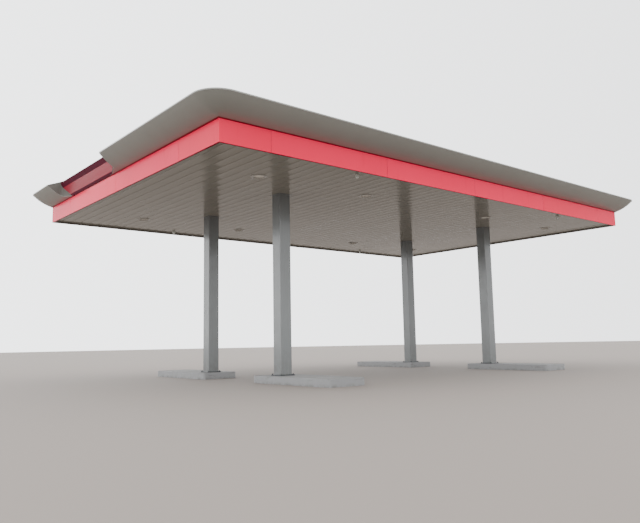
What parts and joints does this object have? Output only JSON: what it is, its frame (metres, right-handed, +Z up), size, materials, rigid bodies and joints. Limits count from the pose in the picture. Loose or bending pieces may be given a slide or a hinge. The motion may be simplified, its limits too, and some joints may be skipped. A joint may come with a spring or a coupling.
{
  "type": "filling station canopy",
  "caption": "Flat filling station canopy on square columns and raised islands, with a red fascia band, a flared grey brim, a leaning sign panel and a planked metal ceiling.",
  "frame": {"origin": "on the ground at the middle of the canopy's plan", "axes": "+Z up, +X along the long side away from the sign, +Y across; the front is -Y and the sign is on the -X end"},
  "size_m": [18.54, 12.14, 6.415],
  "materials": {
    "island_concrete": "trowelled concrete, dusty",
    "island_curb": "light grey enamel, scuffed",
    "dark_plate": "dark grey enamel",
    "column_paint": "satin light grey enamel",
    "frame_steel": "grey primer",
    "ceiling_plank": "gloss warm grey coil coating",
    "ceiling_trim": "satin warm grey",
    "fascia_panel": "high gloss red",
    "roof_sheet": "bare zinc and aluminium coating, weathered",
    "brim_sheet": "gloss warm grey",
    "sign_panel": "gloss deep red",
    "sign_case": "satin maroon",
    "light_can": "spun and matte",
    "light_ring": "satin light grey",
    "light_lens": "frosted",
    "lamp_white": "satin white"
  },
  "bodies": {
    "root": {"island_front_left": "island_concrete", "island_front_right": "island_concrete", "island_back_left": "island_concrete", "island_back_right": "island_concrete", "island_curbs": "island_curb", "base_plates": "dark_plate", "column_front_left": "column_paint", "column_front_right": "column_paint", "column_back_left": "column_paint", "column_back_right": "column_paint", "column_heads": "dark_plate", "column_collars": "column_paint", "beam_front": "frame_steel", "beam_back": "frame_steel", "rafters": "frame_steel", "rafter_cleats": "frame_steel", "soffit_rails": "frame_steel", "soffit_hangers": "frame_steel", "soffit_left": "ceiling_plank", "soffit_middle": "ceiling_plank", "soffit_right": "ceiling_plank", "soffit_trims": "ceiling_trim", "fascia_frames": "frame_steel", "fascia_front": "fascia_panel", "fascia_right": "fascia_panel", "fascia_back": "fascia_panel", "fascia_left": "fascia_panel", "roof_left": "roof_sheet", "roof_right": "roof_sheet", "gutters": "roof_sheet", "brim_front": "brim_sheet", "brim_right": "brim_sheet", "brim_back": "brim_sheet", "brim_left_front": "brim_sheet", "brim_left_back": "brim_sheet", "brim_corners": "brim_sheet", "brim_ribs": "frame_steel", "sign_backing": "brim_sheet", "sign_box": "sign_case", "sign_face": "sign_panel", "sign_cover": "sign_case", "downlight_cans": "light_can", "downlight_rings": "light_ring", "downlight_lenses": "light_lens", "edge_lamps": "lamp_white"}
  },
  "joints": []
}
